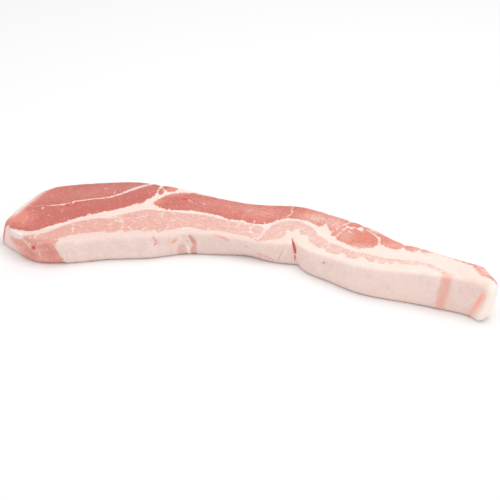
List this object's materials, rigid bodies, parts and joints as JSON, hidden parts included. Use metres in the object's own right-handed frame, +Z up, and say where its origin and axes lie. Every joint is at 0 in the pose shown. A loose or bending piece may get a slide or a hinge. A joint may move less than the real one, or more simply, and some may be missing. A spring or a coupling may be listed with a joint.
{
  "type": "raw pork belly slice",
  "caption": "Thick-cut raw pork belly slice lying on its cut face: bent strip of lean layers and fat, blunt wide end, tapering fatty end with a lip, creased fat side.",
  "frame": {"origin": "on the surface the slice lies on, below the middle of its bounding box", "axes": "+X along the slice from its thick blunt end to its thin end, -Y towards the outer fat side, +Y towards the inner rib side, +Z up through the upper cut face"},
  "size_m": [0.2644, 0.079, 0.0202],
  "materials": {
    "pork": "moist raw meat: satin rose lean, matt cream-white fat with a thin wet film"
  },
  "bodies": {
    "root": {"pork_slice": "pork"}
  },
  "joints": []
}
